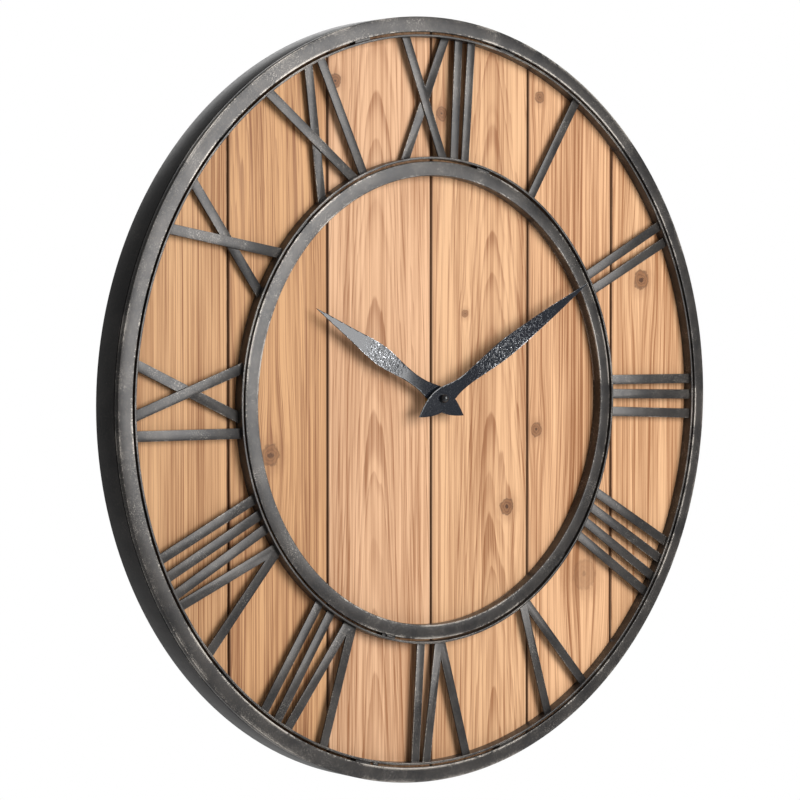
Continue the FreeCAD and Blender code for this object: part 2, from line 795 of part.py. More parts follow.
def make_hand(label, length, blade, angle, back, hole):
    """A leaf-shaped hand of flat sheet, pointing at a clock angle."""
    body = doc.addObject("PartDesign::Body", f"{label}_body")
    plane = next(f for f in body.Origin.OriginFeatures if f.Role == "XY_Plane")
    sketch = body.newObject("Sketcher::SketchObject", f"{label}_outline")
    sketch.AttachmentSupport = (plane, [""])
    sketch.MapMode = "FlatFace"
    sketch.AttachmentOffset = Placement(Vector(0, 0, 0), Rotation(Vector(0, 0, 1), 90 - angle))
    bind(sketch, AttachmentOffset__Base__y="Sizes.axis_rise", AttachmentOffset__Base__z=sized(back))
    tail = (-size("tail_length"), 0.0)
    tip = (size(length), 0.0)
    for side in (1, -1):
        edge = Part.BSplineCurve()
        places = [tail, *TAIL_LEAF, *blade, tip]
        edge.interpolate([Vector(along, side * half, 0) for along, half in places])
        sketch.addGeometry(edge)
    sketch.addGeometry(Part.Circle(Vector(0, 0, 0), Vector(0, 0, 1), size(hole)))
    ring = sketch.addConstraint(Sketcher.Constraint("Radius", 2, size(hole)))
    sketch.renameConstraint(ring, "hole")
    sketch.setExpression("Constraints.hole", sized(hole))
    pad = body.newObject("PartDesign::Pad", f"{label}_sheet")
    pad.Profile = sketch
    bind(pad, Length="Sizes.hand_thick")
    keep(body, label)


def make_cap_nut():
    """The closed nut on the end of the minute shaft: a short wall under a flattened dome."""
    foot = "minute_hand_back + hand_thick"
    wall = disc("cap_radius", foot, f"{foot} + cap_tall / 4", y="axis_rise")
    dome = doc.addObject("Part::Ellipsoid", "dome")
    bind(dome, Radius1="Sizes.cap_tall * 3 / 4", Radius2="Sizes.cap_radius", Radius3="Sizes.cap_radius")
    dome.Angle1 = 0
    bind(dome, Placement__Base__y="Sizes.axis_rise")
    bind(dome, Placement__Base__z=sized(f"{foot} + cap_tall / 4"))
    bore = disc("shaft_radius + 0.05", foot, f"{foot} + 1.4", y="axis_rise")
    keep(cut(fuse([wall, dome]), bore), "cap_nut")


# ---------------------------------------------------------------- build, check and write


def build():
    """Every sub-part, from the rim inwards and then from the wall outwards."""
    make_rim()
    make_rim_lugs()
    make_hoops()
    make_groove_welds()
    for name, (front_strokes, back_strokes) in NUMERALS.items():
        make_numeral(name, front_strokes, back_strokes)
    make_boards()
    make_battens()
    make_clips()
    make_hanger()
    make_case()
    make_battery()
    make_spindle_hardware()
    make_hand_arbors()
    make_intermediate_wheel()
    make_fast_wheels()
    make_setting_knob()
    make_electrics()
    make_hand("hour_hand", "hour_length", HOUR_BLADE, HOUR_ANGLE, "hour_hand_back", "pipe_radius")
    make_hand("minute_hand", "minute_length", MINUTE_BLADE, MINUTE_ANGLE, "minute_hand_back", "shaft_radius")
    make_cap_nut()
    doc.recompute()


def check():
    """Stop before anything is written if any object failed or any sub-part isn't whole."""
    for feature in doc.Objects:
        if "Invalid" in feature.State or "Error" in feature.State:
            raise RuntimeError(f"{feature.Name} ({feature.Label}) failed: {feature.State}")
    for node in nodes:
        shape = node.Shape
        if shape.isNull() or not shape.isValid() or not shape.Solids or shape.Volume <= 0:
            raise RuntimeError(f"{node.Label} isn't a whole solid")


def write():
    """One file for each sub-part."""
    os.makedirs("parts", exist_ok=True)
    for node in nodes:
        node.Shape.exportStep(f"parts/{node.Label}.step")
    print(f"{len(nodes)} sub-parts written")


build()
check()
write()
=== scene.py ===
import json
import math

import bmesh
import bpy
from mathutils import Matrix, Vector

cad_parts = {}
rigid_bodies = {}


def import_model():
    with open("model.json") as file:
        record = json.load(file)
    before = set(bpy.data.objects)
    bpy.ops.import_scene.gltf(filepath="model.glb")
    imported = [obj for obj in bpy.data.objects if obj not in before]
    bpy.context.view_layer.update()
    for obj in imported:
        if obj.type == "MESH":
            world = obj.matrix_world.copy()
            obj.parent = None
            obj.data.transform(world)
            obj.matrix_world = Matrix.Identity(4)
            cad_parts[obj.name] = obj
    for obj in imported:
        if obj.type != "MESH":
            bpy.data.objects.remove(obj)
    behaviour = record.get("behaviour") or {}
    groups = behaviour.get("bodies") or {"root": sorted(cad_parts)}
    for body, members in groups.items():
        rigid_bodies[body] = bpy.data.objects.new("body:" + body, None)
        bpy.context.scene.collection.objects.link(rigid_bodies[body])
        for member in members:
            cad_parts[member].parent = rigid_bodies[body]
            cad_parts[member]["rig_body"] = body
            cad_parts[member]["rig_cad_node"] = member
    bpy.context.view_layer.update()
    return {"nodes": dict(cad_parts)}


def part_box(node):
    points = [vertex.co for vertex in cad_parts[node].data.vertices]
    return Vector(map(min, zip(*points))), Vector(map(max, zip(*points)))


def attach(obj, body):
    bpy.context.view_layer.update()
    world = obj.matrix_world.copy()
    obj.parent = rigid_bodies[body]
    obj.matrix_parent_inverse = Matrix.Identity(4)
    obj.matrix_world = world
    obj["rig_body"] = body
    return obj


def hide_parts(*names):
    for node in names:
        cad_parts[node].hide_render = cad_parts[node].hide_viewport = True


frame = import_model()

# A round wall clock. It hangs by a keyhole at the origin, in the plane of the wall (Y = 0), and its
# dial looks along -Y. The file follows it from the rim inwards, then from the wall outwards.


# -------------------- rolled rim
# The clock's outer wall: a strip of 2 mm steel rolled into a hoop and butt-welded. Like the rest
# of the frame it is painted a dark bronze black, then rubbed back until steel shows on the edges.
# Its paint colour here is set darker than the rest of the frame's: painted shade on this side wall.

band_low, band_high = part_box("rim_band")
middle = Vector((0, 0, (band_low.z + band_high.z) / 2))
rim_radius = band_high.x
sheet = 0.002
bar_rounding = 0.0004


def only(piece):
    """Selects this piece alone."""
    bpy.ops.object.select_all(action="DESELECT")
    piece.select_set(True)
    bpy.context.view_layer.objects.active = piece


def edit(piece):
    """Opens a piece in edit mode with nothing in it selected."""
    only(piece)
    bpy.ops.object.mode_set(mode="EDIT")
    bpy.ops.mesh.select_all(action="DESELECT")


def leave():
    """Goes back to object mode."""
    bpy.ops.object.mode_set(mode="OBJECT")


def deselect():
    """Clears the selection, ready for a new primitive."""
    bpy.ops.object.select_all(action="DESELECT")


def take_all():
    """Selects all of the mesh that is being edited."""
    bpy.ops.mesh.select_all(action="SELECT")


def fresh(name):
    """Names the primitive that was just added."""
    piece = bpy.context.object
    piece.name = name
    return piece


def settle(piece, smooth=35):
    """Puts a piece's place into its mesh and shades it smooth up to an angle."""
    only(piece)
    bpy.ops.object.transform_apply(location=True, rotation=True, scale=True)
    bpy.ops.object.shade_smooth_by_angle(angle=math.radians(smooth))


def finish_with(piece, kind, **settings):
    """Adds a modifier with its settings and applies it."""
    modifier = piece.modifiers.new(kind.title(), kind)
    for name, value in settings.items():
        setattr(modifier, name, value)
    only(piece)
    bpy.ops.object.modifier_apply(modifier=modifier.name)


def section(name, corners, pole):
    """Opens an outline of (radius from the pole, height above the wall) corners in edit mode."""
    deselect()
    bpy.ops.mesh.primitive_circle_add(vertices=len(corners), radius=sheet)
    piece = fresh(name)
    for vertex, (radius, height) in zip(piece.data.vertices, corners):
        vertex.co = (pole.x + radius, -height, pole.z)
    edit(piece)
    return piece


def spun(piece, steps, pole):
    """Spins the outline in edit mode about a line along Y through the pole, and closes it."""
    take_all()
    bpy.ops.mesh.spin(steps=steps, angle=2 * math.pi, center=pole, axis=(0, 1, 0))
    take_all()
    bpy.ops.mesh.remove_doubles(threshold=1e-6)
    bpy.ops.mesh.normals_make_consistent(inside=False)
    leave()
    settle(piece)
    return piece


def turned(name, corners, rounding, steps=256, pole=middle):
    """A ring turned from a section whose corners are all rounded."""
    piece = section(name, corners, pole)
    take_all()
    bpy.ops.mesh.bevel(offset=rounding, segments=3, affect="VERTICES")
    return spun(piece, steps, pole)


def flat_hoop(name, node, thick):
    """A hoop of flat metal, as wide across and as deep as its CAD node."""
    low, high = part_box(node)
    inside, outside = high.x - thick, high.x
    corners = [(inside, -high.y), (outside, -high.y), (outside, -low.y), (inside, -low.y)]
    return turned(name, corners, bar_rounding)


def feed(tree, entry, value):
    """Gives an input socket another socket, a number or a colour."""
    if isinstance(value, bpy.types.NodeSocket):
        tree.links.new(value, entry)
    elif isinstance(value, tuple) and len(value) == 3 and entry.type == "RGBA":
        entry.default_value = (*value, 1)
    else:
        entry.default_value = value


def sums(tree, operation, *values, clamp=False):
    """A Math node over sockets or numbers; gives its output."""
    node = tree.nodes.new("ShaderNodeMath")
    node.operation = operation
    node.use_clamp = clamp
    for entry, value in zip(node.inputs, values):
        feed(tree, entry, value)
    return node.outputs[0]


def times(tree, first, second):
    """One value times another."""
    return sums(tree, "MULTIPLY", first, second)


def times_plus(tree, first, second, third, clamp=False):
    """One value times another, and a third added."""
    return sums(tree, "MULTIPLY_ADD", first, second, third, clamp=clamp)


def less(tree, first, second):
    """One value with another taken off it."""
    return sums(tree, "SUBTRACT", first, second)


def stretched(tree, place, stretch):
    """The same place with each direction scaled."""
    node = tree.nodes.new("ShaderNodeMapping")
    node.inputs["Scale"].default_value = stretch
    feed(tree, node.inputs["Vector"], place)
    return node.outputs[0]


def noise(tree, place, scale, detail=2.0, rough=0.5, dimensions="3D"):
    """A noise pattern about 0.5, with its scale in cycles a metre."""
    node = tree.nodes.new("ShaderNodeTexNoise")
    node.noise_dimensions = dimensions
    node.inputs["Scale"].default_value = scale
    node.inputs["Detail"].default_value = detail
    node.inputs["Roughness"].default_value = rough
    feed(tree, node.inputs["W" if dimensions == "1D" else "Vector"], place)
    return node.outputs[0]


def climb(tree, value, low, high):
    """How far a value has climbed from low to high, eased, from 0 to 1."""
    node = tree.nodes.new("ShaderNodeMapRange")
    node.interpolation_type = "SMOOTHSTEP"
    for entry, number in (("Value", value), ("From Min", low), ("From Max", high)):
        feed(tree, node.inputs[entry], number)
    return node.outputs[0]


def fall(tree, value, low, high):
    """How far a value still has to climb from low to high, from 1 to 0."""
    return less(tree, 1.0, climb(tree, value, low, high))


def axes(tree, place):
    """A place taken apart into its X, Y and Z."""
    node = tree.nodes.new("ShaderNodeSeparateXYZ")
    feed(tree, node.inputs[0], place)
    return node.outputs


def blend(tree, share, first, second, mode="MIX"):
    """Mixes two colours; gives the output socket."""
    node = tree.nodes.new("ShaderNodeMix")
    node.data_type = "RGBA"
    node.blend_type = mode
    for number, value in ((0, share), (6, first), (7, second)):
        feed(tree, node.inputs[number], value)
    return node.outputs[2]


def new_group(name, inputs, outputs):
    """A shader node group with named inputs and outputs: its tree and the sockets inside it."""
    tree = bpy.data.node_groups.new(name, "ShaderNodeTree")
    kinds = {"value": "NodeSocketFloat", "colour": "NodeSocketColor", "vector": "NodeSocketVector"}
    for label, kind in inputs.items():
        tree.interface.new_socket(label, in_out="INPUT", socket_type=kinds[kind])
    for label, kind in outputs.items():
        tree.interface.new_socket(label, in_out="OUTPUT", socket_type=kinds[kind])
    given = tree.nodes.new("NodeGroupInput").outputs
    return tree, given, tree.nodes.new("NodeGroupOutput").inputs


def new_material(name):
    """An empty material: itself, its tree, its shader and the piece's own coordinates."""
    material = bpy.data.materials.new(name)
    material.use_nodes = True
    tree = material.node_tree
    place = tree.nodes.new("ShaderNodeTexCoord").outputs["Object"]
    return material, tree, tree.nodes["Principled BSDF"], place


def placed(tree, group, **values):
    """A node group placed in a material with its own values; gives its outputs."""
    node = tree.nodes.new("ShaderNodeGroup")
    node.node_tree = group
    for name, value in values.items():
        feed(tree, node.inputs[name.replace("_", " ")], value)
    return node.outputs


def coat(tree, shader, colour, roughness):
    """Gives a shader its colour and its roughness."""
    feed(tree, shader.inputs["Base Color"], colour)
    feed(tree, shader.inputs["Roughness"], roughness)


def relief(tree, shader, height, strength):
    """Turns a height in metres into the shader's normal."""
    bump = tree.nodes.new("ShaderNodeBump")
    bump.inputs["Strength"].default_value = strength
    bump.inputs["Distance"].default_value = 1.0
    feed(tree, bump.inputs["Height"], height)
    feed(tree, shader.inputs["Normal"], bump.outputs[0])


def edge_wear_group():
    """Where an edge has been rubbed: strong on the arris, and broken up along it."""
    tree, given, wanted = new_group(
        "Edge wear",
        {"Place": "vector", "Reach": "value", "Amount": "value"},
        {"Mask": "value"},
    )
    rounded = tree.nodes.new("ShaderNodeBevel")
    rounded.samples = 8
    feed(tree, rounded.inputs["Radius"], given["Reach"])
    facing = tree.nodes.new("ShaderNodeVectorMath")
    facing.operation = "DOT_PRODUCT"
    feed(tree, facing.inputs[0], rounded.outputs[0])
    feed(tree, facing.inputs[1], tree.nodes.new("ShaderNodeNewGeometry").outputs["Normal"])
    edge = climb(tree, less(tree, 1.0, facing.outputs["Value"]), 0.0, 0.14)
    runs = climb(tree, noise(tree, given["Place"], 13, 4, 0.6), 0.42, 0.64)
    near = times(tree, edge, times_plus(tree, runs, 0.7, 0.3))
    near = times(tree, near, given["Amount"])
    grains = noise(tree, given["Place"], 620, 4, 0.8)
    rubbed = times_plus(tree, near, 0.42, grains)
    feed(tree, wanted["Mask"], climb(tree, rubbed, 0.68, 0.80))
    return tree


def rubbed_paint_group():
    """Dark paint rubbed cloudy, with pale speckle in patches and a fine orange peel."""
    tree, given, wanted = new_group(
        "Rubbed paint",
        {
            "Place": "vector",
            "Paint": "colour",
            "Bare": "colour",
            "Edges": "value",
            "Speckle": "value",
        },
        {"Color": "colour", "Roughness": "value", "Metallic": "value", "Height": "value"},
    )
    place = given["Place"]
    clouds = climb(tree, noise(tree, place, 26, 3, 0.6), 0.3, 0.7)
    patches = climb(tree, noise(tree, place, 24, 4, 0.7), 0.46, 0.70)
    grains = climb(tree, noise(tree, place, 860, 3, 0.75), 0.53, 0.66)
    dust = climb(tree, noise(tree, place, 640, 3, 0.8), 0.50, 0.72)
    speckle = times(tree, times(tree, patches, grains), given["Speckle"])
    bare = sums(tree, "ADD", given["Edges"], speckle, clamp=True)
    dark = blend(tree, 1.0, given["Paint"], (0.60, 0.60, 0.62), "MULTIPLY")
    light = blend(tree, 1.0, given["Paint"], (1.55, 1.48, 1.40), "MULTIPLY")
    paint = blend(tree, clouds, dark, light)
    paint = blend(tree, times(tree, dust, 0.12), paint, (0.36, 0.29, 0.22))
    feed(tree, wanted["Color"], blend(tree, bare, paint, given["Bare"]))
    cloth = noise(tree, place, 120, 3, 0.6)
    feed(tree, wanted["Roughness"], times_plus(tree, cloth, 0.14, 0.26))
    feed(tree, wanted["Metallic"], times_plus(tree, bare, -0.1, 0.32))
    peel = times(tree, noise(tree, place, 520, 2, 0.6), 0.00010)
    dents = times_plus(tree, noise(tree, place, 75, 2), 0.00016, peel)
    feed(tree, wanted["Height"], times_plus(tree, bare, -0.00006, dents))
    return tree


edge_wear = edge_wear_group()
rubbed_paint = rubbed_paint_group()


def frame_paint(name, wear=0.6, speckle=0.5, reach=0.003, paint=(0.030, 0.0285, 0.028)):
    """The frame's finish on one piece, with how far its edges and faces have been rubbed."""
    material, tree, shader, place = new_material(name)
    edges = placed(tree, edge_wear, Place=place, Reach=reach, Amount=wear)["Mask"]
    coats = dict(Paint=paint, Bare=(0.56, 0.51, 0.45), Edges=edges, Speckle=speckle)
    finish = placed(tree, rubbed_paint, Place=place, **coats)
    coat(tree, shader, finish["Color"], finish["Roughness"])
    feed(tree, shader.inputs["Metallic"], finish["Metallic"])
    relief(tree, shader, finish["Height"], 0.5)
    return material


def wear(piece, material):
    """Gives a piece one material all over."""
    piece.data.materials.clear()
    piece.data.materials.append(material)


def stand_for(piece, node):
    """The piece rides on a CAD node's body in that node's place, and the node is hidden."""
    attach(piece, frame["nodes"][node]["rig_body"])
    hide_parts(node)


band = flat_hoop("rolled_rim", "rim_band", sheet)
# Painted shade: the band's paint colour is darker than the frame's other paint.
wear(band, frame_paint("Rim paint darkened as painted shade", wear=0.55, speckle=0.12, paint=(0.019, 0.0185, 0.019)))
stand_for(band, "rim_band")


# -------------------- rim face
# A flat ring of sheet that falls away a little to the outside, with a lip folded back to meet the
# rim. The two are tacked together at a few places, and the seam between them stays open.

face_low, face_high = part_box("rim_face_ring")
face_width = 0.0152
face_crest = -face_low.y
face_edge = 0.0360
face_back = 0.0345
lip_back = -face_high.y
ring_rounding = 0.0007

face = turned(
    "rim_face",
    [
        (rim_radius - face_width, face_crest),
        (rim_radius, face_edge),
        (rim_radius, lip_back),
        (rim_radius - sheet, lip_back),
        (rim_radius - sheet, face_back),
        (rim_radius - face_width, face_back),
    ],
    ring_rounding,
)
wear(face, frame_paint("Face ring paint", wear=1.0, speckle=0.5, reach=0.0055))
stand_for(face, "rim_face_ring")


# -------------------- weld beads
# Short runs of weld left as they cooled: a row of flattened ripples, each lapping the one before.
# They close the rim's seam in three places, and bridge each groove of the dial once, low down.


def around(radius, angle, height):
    """The place at a radius, a clock angle in degrees and a height above the wall."""
    turn = math.radians(angle)
    return middle + Vector((radius * math.sin(turn), -height, radius * math.cos(turn)))


def copied(original, name, spots, smooth):
    """One piece made of copies of another, each at its own place and turned about Y there."""
    copies = []
    for place, turn in spots:
        only(original)
        bpy.ops.object.duplicate()
        copy = fresh(f"{name}_{len(copies)}")
        copy.location = place
        copy.rotation_euler = (0, turn, 0)
        copies.append(copy)
    deselect()
    for copy in copies:
        copy.select_set(True)
    bpy.context.view_layer.objects.active = copies[0]
    bpy.ops.object.join()
    bpy.data.objects.remove(original)
    piece = fresh(name)
    settle(piece, smooth)
    return piece


def weld_bead(name, node, runs, half_size, ripples=5):
    """Weld ripples along arcs, each run (radius, clock angle, sweep, height), for a CAD node."""
    spots = []
    for radius, angle, sweep, height in runs:
        for number in range(ripples):
            at = angle + sweep * (number / (ripples - 1) - 0.5)
            spots.append((around(radius, at, height), math.radians(at)))
    deselect()
    bpy.ops.mesh.primitive_uv_sphere_add(segments=16, ring_count=10, radius=1)
    ripple = fresh(f"{name}_ripple")
    ripple.scale = half_size
    piece = copied(ripple, name, spots, 60)
    wear(piece, weld_steel)
    stand_for(piece, node)


weld_steel = frame_paint("Weld paint", wear=0.5, speckle=0.9, paint=(0.030, 0.027, 0.025))
seam_height = (-band_low.y + lip_back) / 2
seam_sunk = 0.0011
seam_sweep = 1.3
seam_runs = [(rim_radius - seam_sunk, angle, seam_sweep, seam_height) for angle in (1, 121, 241)]
weld_bead("seam_tacks", "rim_seam_welds", seam_runs, (0.0017, 0.0009, 0.00095))


# -------------------- numeral frame
# Two flat bars bent on edge into hoops, which the numerals' bars are welded between. The outer one
# stands a finger's groove inside the rim's face, and the inner one as far outside the inner ring.

hoop_thick = 0.0022
groove = 0.0024
groove_weld_height = 0.0362
outer_hoop_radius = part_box("outer_hoop")[1].x

for side in ("outer", "inner"):
    name = f"numeral_hoop_{side}"
    hoop = flat_hoop(name, f"{side}_hoop", hoop_thick)
    wear(hoop, frame_paint(f"{name} paint", wear=0.9, speckle=0.5, reach=0.0022))
    stand_for(hoop, f"{side}_hoop")

groove_weld_angle = 192.7
groove_sweep = 0.5
groove_runs = [
    (outer_hoop_radius + groove / 2, groove_weld_angle, groove_sweep, groove_weld_height)
]
weld_bead("outer_groove_tack", "outer_groove_weld", groove_runs, (0.0018, 0.0011, 0.0015), 3)


# -------------------- inner ring
# The ring round the sunk dial: its face slopes gently outwards from a crest on the inside, and its
# inner wall drops to the boards. One tack bridges the groove between it and the inner hoop.

ring_low, ring_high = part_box("inner_face_ring")
ring_outside = ring_high.x
ring_width = 0.0144
ring_inside = ring_outside - ring_width
ring_crest = -ring_low.y
ring_edge = 0.0366
ring_weld_height = 0.0357

ring = turned(
    "dial_ring",
    [
        (ring_inside, ring_crest),
        (ring_outside, ring_edge),
        (ring_outside, face_back),
        (ring_inside + sheet, face_back),
        (ring_inside + sheet, -ring_high.y),
        (ring_inside, -ring_high.y),
    ],
    ring_rounding,
)
wear(ring, frame_paint("Dial ring paint", wear=0.9, speckle=0.5, reach=0.005))
stand_for(ring, "inner_face_ring")

ring_weld_angle = 195
ring_sweep = 1.0
ring_runs = [(ring_outside + groove / 2, ring_weld_angle, ring_sweep, ring_weld_height)]
weld_bead("inner_groove_tack", "inner_groove_weld", ring_runs, (0.0018, 0.0009, 0.0015), 3)


def softened(node, material, width=0.0003):
    """A CAD node kept as it is, with its arrises rounded and a finish of its own."""
    piece = frame["nodes"][node]
    weld = piece.modifiers.new("Weld", "WELD")
    weld.merge_threshold = 1e-6
    bevel = piece.modifiers.new("Bevel", "BEVEL")
    bevel.width = width
    bevel.segments = 2
    bevel.angle_limit = math.radians(40)
    wear(piece, material)


lug_paint = frame_paint("Lug paint", wear=0.3, speckle=0.2)
softened("rim_lugs", lug_paint)
softened("inner_lugs", lug_paint)


# -------------------- numerals
# Ten-millimetre flat bar, cut to length and welded between the hoops. Where two strokes cross, one
# lies on top of the other. The sawn ends are hidden in the welds, and the long arrises are rubbed.


def worked_copy(node, name):
    """A piece of its own from a CAD node, with the loose triangles merged into whole faces."""
    only(frame["nodes"][node])
    bpy.ops.object.duplicate()
    piece = fresh(name)
    bpy.ops.object.parent_clear(type="CLEAR_KEEP_TRANSFORM")
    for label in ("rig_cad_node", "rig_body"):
        del piece[label]
    bpy.ops.mesh.customdata_custom_splitnormals_clear()
    edit(piece)
    take_all()
    bpy.ops.mesh.remove_doubles(threshold=2e-6)
    bpy.ops.mesh.dissolve_limited(angle_limit=math.radians(1))
    leave()
    return piece


for number in range(1, 13):
    bars = worked_copy(f"numeral_{number}", f"bars_{number}")
    finish_with(bars, "BEVEL", width=bar_rounding, segments=2, limit_method="ANGLE")
    settle(bars)
    wear(bars, frame_paint(f"Bar paint {number}", wear=0.6, speckle=0.42, reach=0.0026))
    stand_for(bars, f"numeral_{number}")


# -------------------- boards
# Six softwood boards laid side by side and sawn round, their edges eased, stained honey and left
# matt. Growth rings run straight where the saw cut across them, and arch where it ran by the heart.


def length_of(tree, first, second):
    """How long a line is from its run along two square directions."""
    squares = times_plus(tree, first, first, times(tree, second, second))
    return sums(tree, "SQRT", squares)


def sawn_rings_group():
    """Growth rings cut by the board's face, with the fibre streaks and tone that lie over them."""
    tree, given, wanted = new_group(
        "Sawn rings",
        {
            "Place": "vector",
            "Fibre place": "vector",
            "Heart X": "value",
            "Heart depth": "value",
            "Taper": "value",
            "Ring width": "value",
            "Waver": "value",
            "Contrast": "value",
            "Pale": "colour",
            "Deep": "colour",
        },
        {"Color": "colour", "Roughness": "value", "Height": "value"},
    )
    place = given["Place"]
    parts = axes(tree, place)
    slow_waves = noise(tree, stretched(tree, place, (1, 1, 0.08)), 14, 3)
    quick_waves = noise(tree, stretched(tree, place, (1, 1, 0.025)), 100, 3, 0.6)
    slow = less(tree, slow_waves, 0.5)
    quick = less(tree, quick_waves, 0.5)
    waver = times(tree, times_plus(tree, quick, 0.30, slow), given["Waver"])
    beside = sums(tree, "ADD", less(tree, parts["X"], given["Heart X"]), waver)
    depth = times_plus(tree, parts["Z"], given["Taper"], given["Heart depth"])
    age = sums(tree, "DIVIDE", length_of(tree, beside, depth), given["Ring width"])
    uneven = noise(tree, age, 0.42, 2, dimensions="1D")
    age = times_plus(tree, uneven, 2.6, age)
    season = sums(tree, "FRACT", age)
    summer = climb(tree, season, 0.15, 0.86)
    winter = climb(tree, season, 0.90, 1.0)
    late = times(tree, summer, less(tree, 1.0, winter))
    strength = climb(tree, noise(tree, age, 0.61, 1, dimensions="1D"), 0.28, 0.72)
    late = times(tree, late, times_plus(tree, strength, 0.8, 0.2))
    broad = climb(tree, noise(tree, stretched(tree, place, (1, 1, 0.07)), 32, 3, 0.6), 0.34, 0.66)
    streak = noise(tree, stretched(tree, place, (1, 1, 0.009)), 230, 4, 0.68)
    along = stretched(tree, given["Fibre place"], (1, 1, 0.012))
    fibre = noise(tree, along, 520, 3, 0.65)
    fleck = climb(tree, noise(tree, along, 1300, 2), 0.58, 0.72)
    tone = times_plus(tree, broad, 0.46, times(tree, late, given["Contrast"]))
    tone = times_plus(tree, less(tree, streak, 0.5), 2.3, tone)
    tone = times_plus(tree, less(tree, fibre, 0.48), 1.3, tone)
    tone = times_plus(tree, fleck, 0.12, tone, clamp=True)
    feed(tree, wanted["Color"], blend(tree, tone, given["Pale"], given["Deep"]))
    feed(tree, wanted["Roughness"], times_plus(tree, late, -0.10, 0.66))
    feed(tree, wanted["Height"], times(tree, fibre, 0.00022))
    return tree


def from_spot(tree, given):
    """A place's X, Y and Z, and how far it lies beside a knot's middle and along the grain."""
    parts = axes(tree, given["Place"])
    beside = less(tree, parts["X"], given["X"])
    return parts, beside, less(tree, parts["Z"], given["Z"])


def knot_bend_group():
    """How a knot pushes the growth rings aside above, below and round it."""
    tree, given, wanted = new_group(
        "Knot bend",
        {"Place": "vector", "X": "value", "Z": "value", "Radius": "value"},
        {"Place": "vector"},
    )
    parts, beside, along = from_spot(tree, given)
    far = length_of(tree, beside, times(tree, along, 0.36))
    far = sums(tree, "DIVIDE", far, given["Radius"])
    pull = sums(tree, "EXPONENT", times(tree, times(tree, far, far), -0.22))
    bent = tree.nodes.new("ShaderNodeCombineXYZ")
    shift = times(tree, times(tree, beside, pull), -0.72)
    feed(tree, bent.inputs["X"], sums(tree, "ADD", parts["X"], shift))
    feed(tree, bent.inputs["Y"], parts["Y"])
    feed(tree, bent.inputs["Z"], parts["Z"])
    feed(tree, wanted["Place"], bent.outputs[0])
    return tree


def knot_stain_group():
    """A knot's own wood: a halo, a ringed heart with a dark eye, and thin bark round it."""
    tree, given, wanted = new_group(
        "Knot stain",
        {
            "Place": "vector",
            "X": "value",
            "Z": "value",
            "Radius": "value",
            "Strength": "value",
            "Color": "colour",
        },
        {"Color": "colour"},
    )
    _, beside, along = from_spot(tree, given)
    near = sums(tree, "DIVIDE", length_of(tree, beside, along), given["Radius"])
    ragged = less(tree, noise(tree, given["Place"], 160, 3, 0.6), 0.5)
    near = times_plus(tree, ragged, 0.9, near)
    halo = fall(tree, near, 0.6, 2.6)
    core = fall(tree, near, 0.82, 1.05)
    rings = climb(tree, sums(tree, "SINE", times(tree, near, 15.0)), -0.6, 0.9)
    from_bark = sums(tree, "ABSOLUTE", less(tree, near, 0.96))
    bark = fall(tree, from_bark, 0.02, 0.16)
    eye = fall(tree, near, 0.1, 0.34)
    colour = blend(tree, times(tree, halo, 0.35), given["Color"], (0.23, 0.10, 0.04))
    wood = blend(tree, rings, (0.22, 0.095, 0.038), (0.135, 0.052, 0.021))
    strong = times(tree, given["Strength"], 0.85)
    colour = blend(tree, times(tree, core, strong), colour, wood)
    dark = sums(tree, "MAXIMUM", times(tree, bark, 0.5), eye)
    dark = times(tree, dark, strong)
    feed(tree, wanted["Color"], blend(tree, dark, colour, (0.055, 0.022, 0.010)))
    return tree


sawn_rings = sawn_rings_group()
knot_bend = knot_bend_group()
knot_stain = knot_stain_group()


# Painted shade along each board's long edges, where the boards meet: where it starts, and where it
# is full.
seam_shade = 0.0024
seam_dark = 0.0004


def board_wood(name, left, right, knots=(), **grain):
    """Stained softwood with painted shade at its edges, (x, z, radius, strength) knots and grain.
    """
    material, tree, shader, place = new_material(name)
    bent = place
    for x, z, radius, strength in knots:
        bent = placed(tree, knot_bend, Place=bent, X=x, Z=middle.z + z, Radius=radius)["Place"]
    wood = placed(tree, sawn_rings, Place=bent, Fibre_place=place, **grain)
    colour = wood["Color"]
    for x, z, radius, strength in knots:
        spot = dict(X=x, Z=middle.z + z, Radius=radius, Strength=strength)
        colour = placed(tree, knot_stain, Place=place, Color=colour, **spot)["Color"]
    across = less(tree, axes(tree, place)["X"], (left + right) / 2)
    half = (right - left) / 2
    # Painted shade: the colour darkens towards the board's long edges.
    painted_seam_shade = climb(tree, sums(tree, "ABSOLUTE", across), half - seam_shade, half - seam_dark)
    colour = blend(tree, times(tree, painted_seam_shade, 0.8), colour, (0.075, 0.030, 0.012))
    coat(tree, shader, colour, wood["Roughness"])
    shader.inputs["Specular IOR Level"].default_value = 0.3
    relief(tree, shader, wood["Height"], 0.3)
    return material


